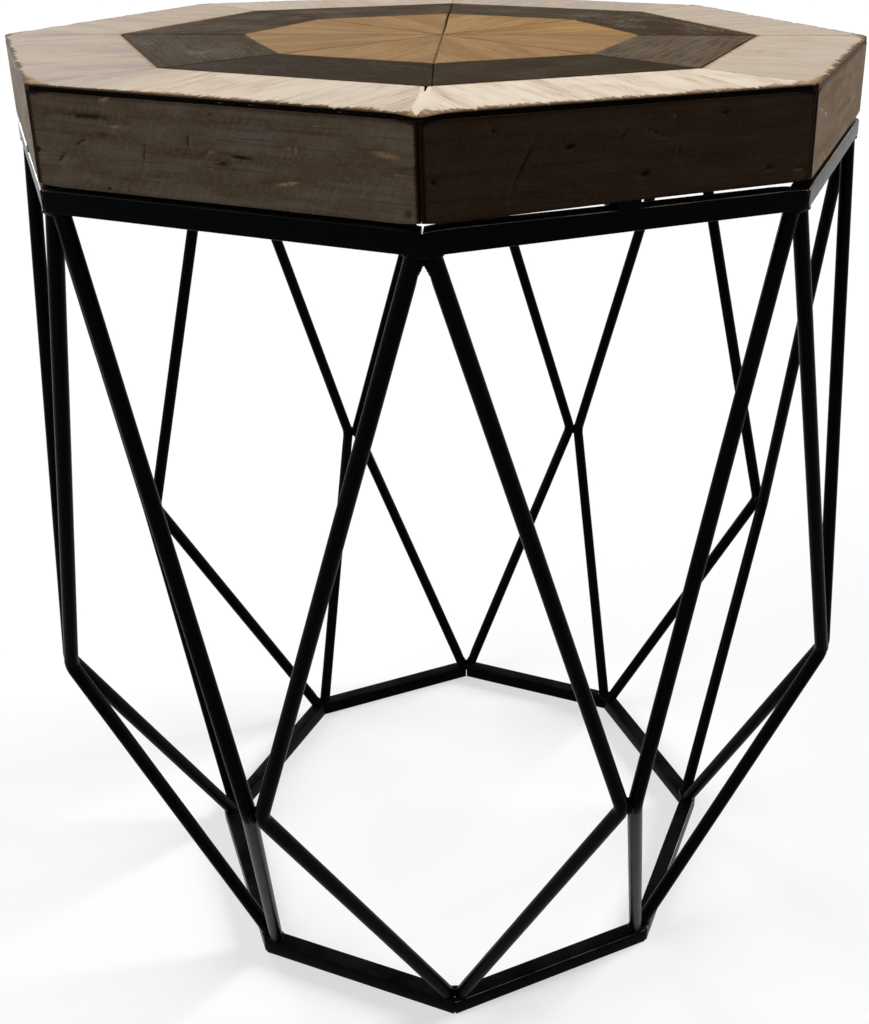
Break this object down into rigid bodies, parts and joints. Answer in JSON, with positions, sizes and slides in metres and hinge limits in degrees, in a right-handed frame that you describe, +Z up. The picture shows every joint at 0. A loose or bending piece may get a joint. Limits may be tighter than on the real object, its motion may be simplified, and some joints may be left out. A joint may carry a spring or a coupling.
{
  "type": "octagonal side table",
  "caption": "Low octagonal side table: an inlaid, mitred wooden top held clear of a welded cage of bent round rods between two square-bar rings.",
  "frame": {"origin": "on the floor, under the middle of the top", "axes": "+Z up; a corner of the octagon, and of both rings, faces -Y"},
  "size_m": [0.4936, 0.4936, 0.562],
  "materials": {
    "whitewashed_wood": "whitewashed, worn at the edge",
    "dark_wood": "dark grey-brown stain, matt",
    "honey_wood": "natural, light wax",
    "apron_wood": "dark stain, scuffed",
    "panel_wood": "raw plywood",
    "black_metal": "satin black powder coat",
    "screw_steel": "zinc plated"
  },
  "bodies": {
    "root": {"border_slat_1": "whitewashed_wood", "border_slat_2": "whitewashed_wood", "border_slat_3": "whitewashed_wood", "border_slat_4": "whitewashed_wood", "border_slat_5": "whitewashed_wood", "border_slat_6": "whitewashed_wood", "border_slat_7": "whitewashed_wood", "border_slat_8": "whitewashed_wood", "band_slats": "dark_wood", "centre_wedges": "honey_wood", "core_panel": "panel_wood", "apron_board_1": "apron_wood", "apron_board_2": "apron_wood", "apron_board_3": "apron_wood", "apron_board_4": "apron_wood", "apron_board_5": "apron_wood", "apron_board_6": "apron_wood", "apron_board_7": "apron_wood", "apron_board_8": "apron_wood", "wood_screws": "screw_steel", "mounting_tabs": "black_metal", "ring_bar_1": "black_metal", "ring_bar_2": "black_metal", "ring_bar_3": "black_metal", "ring_bar_4": "black_metal", "ring_bar_5": "black_metal", "ring_bar_6": "black_metal", "ring_bar_7": "black_metal", "ring_bar_8": "black_metal", "left_rod_1": "black_metal", "left_rod_2": "black_metal", "left_rod_3": "black_metal", "left_rod_4": "black_metal", "left_rod_5": "black_metal", "left_rod_6": "black_metal", "left_rod_7": "black_metal", "left_rod_8": "black_metal", "right_rod_1": "black_metal", "right_rod_2": "black_metal", "right_rod_3": "black_metal", "right_rod_4": "black_metal", "right_rod_5": "black_metal", "right_rod_6": "black_metal", "right_rod_7": "black_metal", "right_rod_8": "black_metal", "base_bar_1": "black_metal", "base_bar_2": "black_metal", "base_bar_3": "black_metal", "base_bar_4": "black_metal", "base_bar_5": "black_metal", "base_bar_6": "black_metal", "base_bar_7": "black_metal", "base_bar_8": "black_metal", "weld_beads": "black_metal"}
  },
  "joints": []
}
